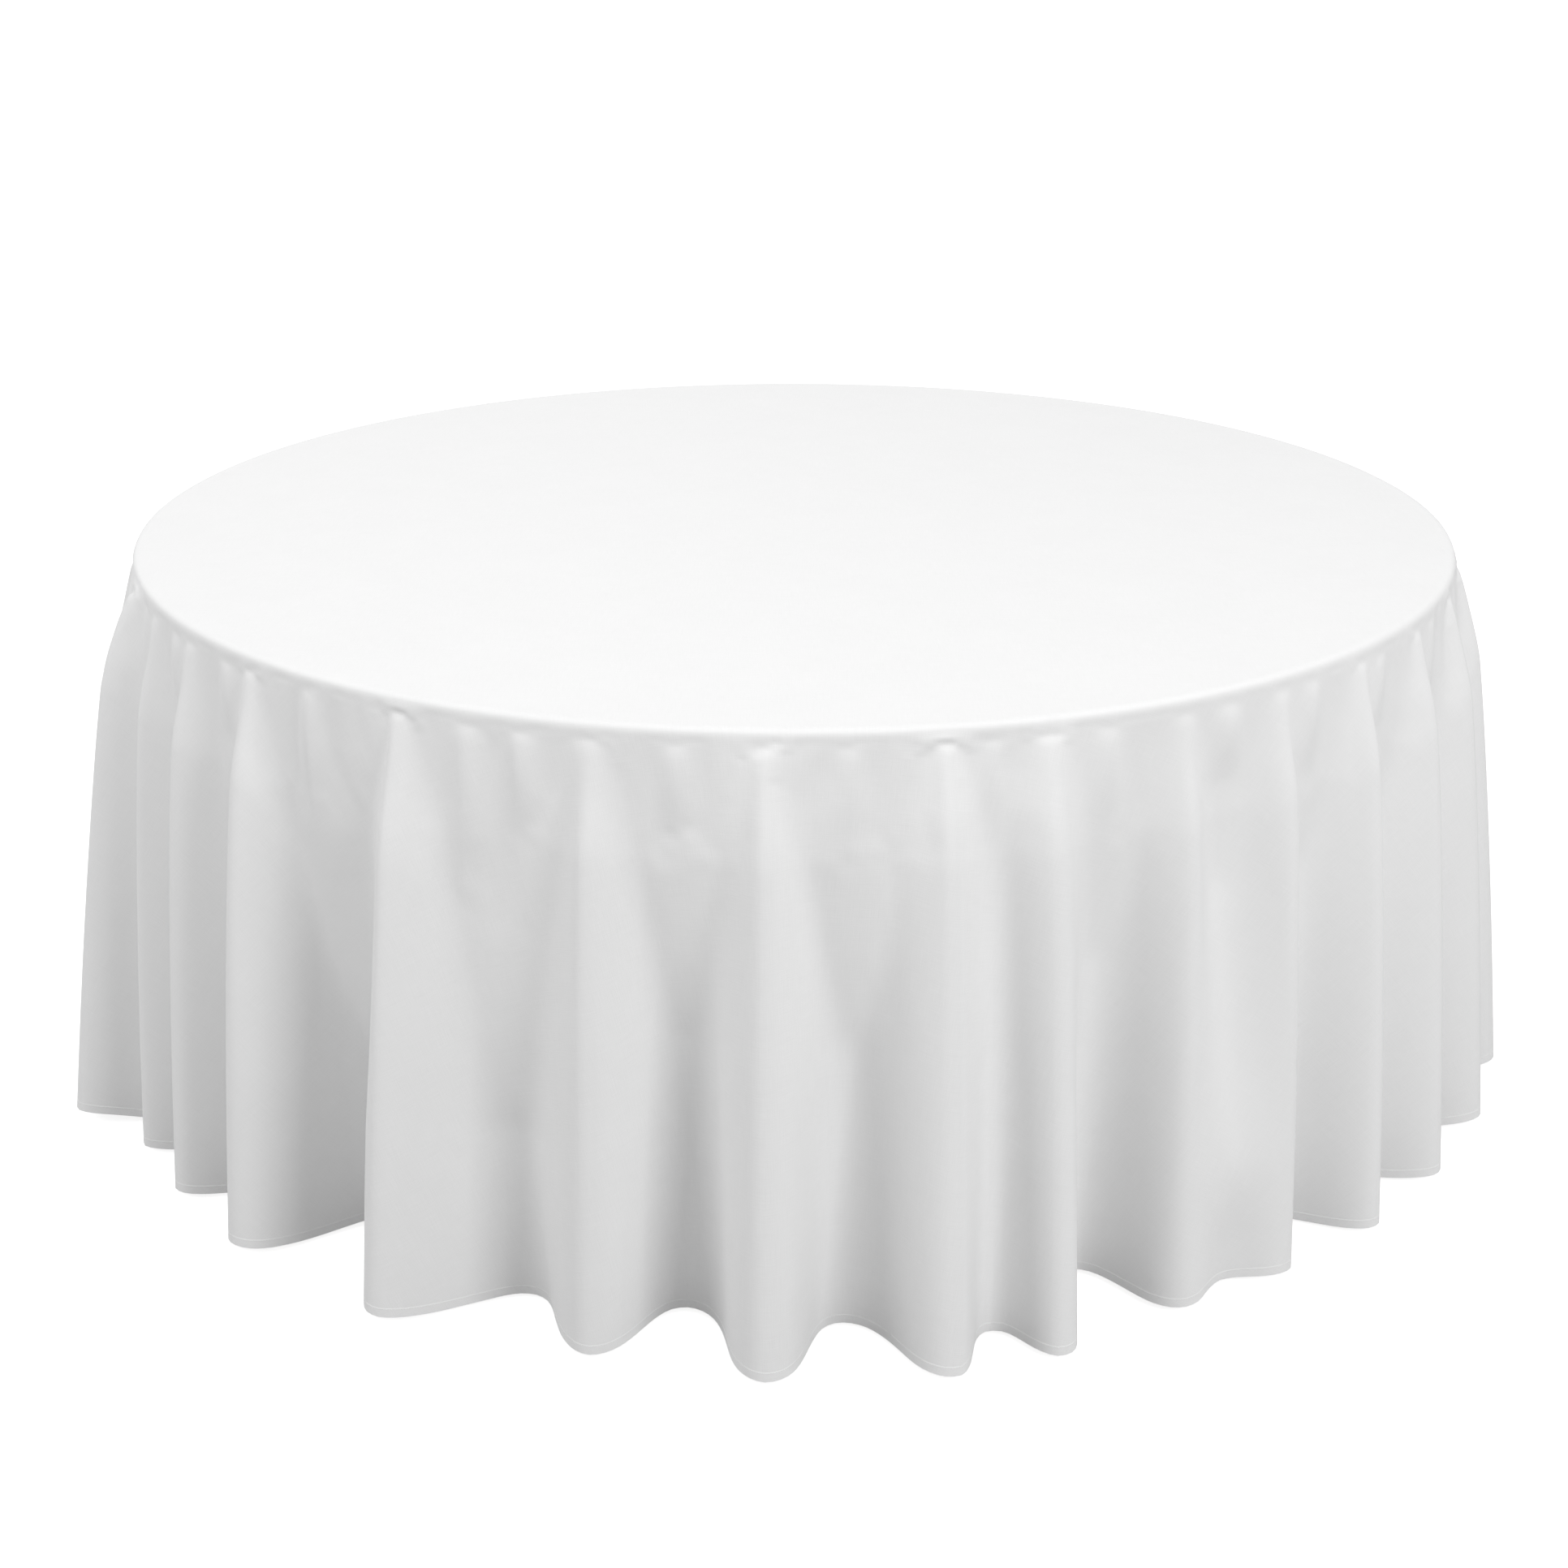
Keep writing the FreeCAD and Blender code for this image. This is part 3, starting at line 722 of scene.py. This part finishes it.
def painted_steel():
    """Grey powder coat with a fine hammered surface and a few lighter rubbed spots."""
    r = Recipe("hammered_grey_paint", 0.42, Coat_Weight=0.2, Coat_Roughness=0.25)
    cells = r.node("TexVoronoi", {"Vector": r.place(), "Scale": 330.0},
                   feature="SMOOTH_F1").outputs["Distance"]
    cloud = r.noise(r.place(), 18.0, 5.0)
    wear = r.noise(r.place(), 60.0, 6.0, 0.75)
    rubbed = r.node("MapRange", {"Value": wear, "From Min": 0.66, "From Max": 0.74}).outputs[0]
    paint = r.ramp(r.math("ADD", r.math("MULTIPLY", cells, 0.35), r.math("MULTIPLY", cloud, 0.6)),
                   (0.075, 0.08, 0.085), (0.17, 0.175, 0.18), 0.2, 0.8)
    colour = r.node("MixRGB", {"Fac": rubbed, "Color1": paint, "Color2": (0.36, 0.36, 0.35, 1)}).outputs[0]
    return r.feed(Base_Color=colour, Roughness=r.range(cloud, 0.34, 0.5), Normal=r.bump(cells, 0.0003))


def zinc_steel():
    """Zinc plate: faint crystal patches, fine rolling lines and duller spots."""
    r = Recipe("zinc_plate", 0.35, Metallic=1.0)
    spangle = r.node("TexVoronoi", {"Vector": r.place(), "Scale": 160.0}, feature="F1").outputs["Color"]
    level = r.node("RGBToBW", {0: spangle}).outputs[0]
    lines = r.noise(r.scaled(r.place(), (1, 1, 30)), 90.0, 3.0)
    dull = r.noise(r.place(), 35.0, 5.0)
    tone = r.math("ADD", r.math("MULTIPLY", level, 0.35), r.math("MULTIPLY", dull, 0.55))
    colour = r.ramp(tone, (0.42, 0.43, 0.44), (0.72, 0.73, 0.74), 0.2, 0.75)
    rough = r.math("ADD", r.range(dull, 0.22, 0.45), r.math("MULTIPLY", lines, 0.12))
    return r.feed(Base_Color=colour, Roughness=rough, Normal=r.bump(lines, 0.00003))


def foot_plastic():
    r = Recipe("black_foot_rubber", 0.7)
    cloud = r.noise(r.place(), 60.0, 5.0)
    colour = r.ramp(cloud, (0.012, 0.012, 0.012), (0.04, 0.039, 0.038), 0.3, 0.75)
    grain = r.bump(r.noise(r.place(), 1500.0, 2.0), 0.0001)
    return r.feed(Base_Color=colour, Roughness=r.range(cloud, 0.55, 0.85), Normal=grain)


# ---- camera, lights and stage ----
def camera():
    data = bpy.data.cameras.new("camera")
    data.lens = CAMERA_LENS
    data.sensor_width = 36
    made = bpy.data.objects.new("camera", data)
    made.location = CAMERA_PLACE
    made.rotation_euler = (math.radians(90 - CAMERA_DOWN), 0, 0)
    bpy.context.scene.collection.objects.link(made)
    bpy.context.scene.camera = made


def softbox(name, place, size, power):
    """A square light that faces the table."""
    data = bpy.data.lights.new(name, "AREA")
    data.energy = power
    data.size = size
    made = bpy.data.objects.new(name, data)
    made.location = place
    made.rotation_euler = (Vector(place) - Vector((0, 0, 0.5))).to_track_quat("Z", "Y").to_euler()
    bpy.context.scene.collection.objects.link(made)


def studio():
    """Soft light from above and from all round, strongest from the right front, on a wide white floor."""
    around = 96
    floor_height = -0.0005
    card_below = (0, 0, 0.001)
    scene = bpy.context.scene
    scene.view_settings.view_transform = "Standard"
    world = bpy.data.worlds.new("studio")
    world.use_nodes = True
    world.node_tree.nodes["Background"].inputs["Color"].default_value = (1, 1, 1, 1)
    world.node_tree.nodes["Background"].inputs["Strength"].default_value = WORLD
    scene.world = world
    softbox("overhead", (0.4, -0.4, 5.5), 4.0, OVERHEAD)
    softbox("key", (3.7, -4.9, 3.4), 2.4, KEY)
    softbox("fill", (-5.0, -2.5, 4.0), 3.0, FILL)
    softbox("back", (-1.0, 5.6, 3.2), 3.5, BACK)
    theta = np.arange(around) / around * 2 * math.pi
    rings = [polar(np.full(around, r), theta, floor_height) for r in (0.01, 3.0, 12.0, 60.0)]
    middle = [list(range(around))]
    floor = mesh_object("studio_floor", rings, grid_faces(4, around) + middle)
    floor.visible_diffuse = False
    r = Recipe("white_paper", 0.9, Emission_Strength=0.85)
    r.shader.inputs["Emission Color"].default_value = (1, 1, 1, 1)
    r.shader.inputs["Base Color"].default_value = (0.5, 0.5, 0.5, 1)
    floor.data.materials.append(r.made)
    # What the cloth sees of the floor is greyer than the paper, so that its folds keep their shade.
    card = mesh_object("studio_grey_floor", [ring - card_below for ring in rings[:3]],
                       grid_faces(3, around) + middle)
    card.visible_camera = False
    card.visible_glossy = False
    card.visible_shadow = False
    grey = Recipe("grey_paper", 0.9)
    grey.shader.inputs["Base Color"].default_value = (0.42, 0.42, 0.42, 1)
    card.data.materials.append(grey.made)


# ---- the part ----
camera()
studio()

phi = np.arange(COLUMNS) / COLUMNS * 2 * math.pi
rings = ring_distances()
cut = np.array([polar(np.full(COLUMNS, d), phi, 0.0) for d in rings])
settled = folded_start(phi, rings)
pinned = int((rings <= TABLE_RADIUS - EDGE_ROUNDING + 1e-6).sum())
unfolded = np.array([polar(np.full(COLUMNS, r), phi, z) for r, z in zip(*plain_profile(rings))])
settled = drape(settled, unfolded, pinned)

# The hem's lowest point is brought to its clearance, shared evenly down the skirt.
span = TABLE_TOP - settled[..., 2].min()
share = np.clip((TABLE_TOP - settled[..., 2]) / span, 0, 1)
settled[..., 2] += share * (HEM_CLEARANCE - settled[..., 2].min())

# The mesh is made twice as fine both ways for the looks.
grid = np.swapaxes(finer(np.swapaxes(finer(settled, True), 0, 1), False), 0, 1)
cut = np.swapaxes(finer(np.swapaxes(finer(cut, True), 0, 1), False), 0, 1)
rings = np.hypot(cut[:, 0, 0], cut[:, 0, 1])
normals = outward(grid)

cloth = tablecloth(grid, cut)
hem = hem_band(grid, normals, cut, rings)
stitches = hem_stitches(grid, normals, rings)

polyester = white_polyester()
cloth.data.materials.append(polyester)
hem.data.materials.append(polyester)
stitches.data.materials.append(sewing_thread())
sewn = ((cloth, "tablecloth_fabric", "white_polyester"), (hem, "hem_band", "white_polyester"),
        (stitches, "hem_stitching", "sewing_thread"))
for piece, node, slot in sewn:
    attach(piece, "tablecloth")
    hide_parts(node)

finishes = {
    "laminate": laminate(),
    "plywood": plywood(),
    "hardwood": wood("sealed_hardwood", (0.30, 0.18, 0.09), (0.60, 0.42, 0.25), 0, 22.0),
    "edge_moulding": edge_plastic(),
    "painted_steel": painted_steel(),
    "zinc_steel": zinc_steel(),
    "foot_plastic": foot_plastic(),
}
for part in frame["record"]["subparts"]:
    node, slot = frame["nodes"][part["node"]], part["material_slot"]
    if slot in finishes:
        for place in node.material_slots:
            place.material = finishes[slot]
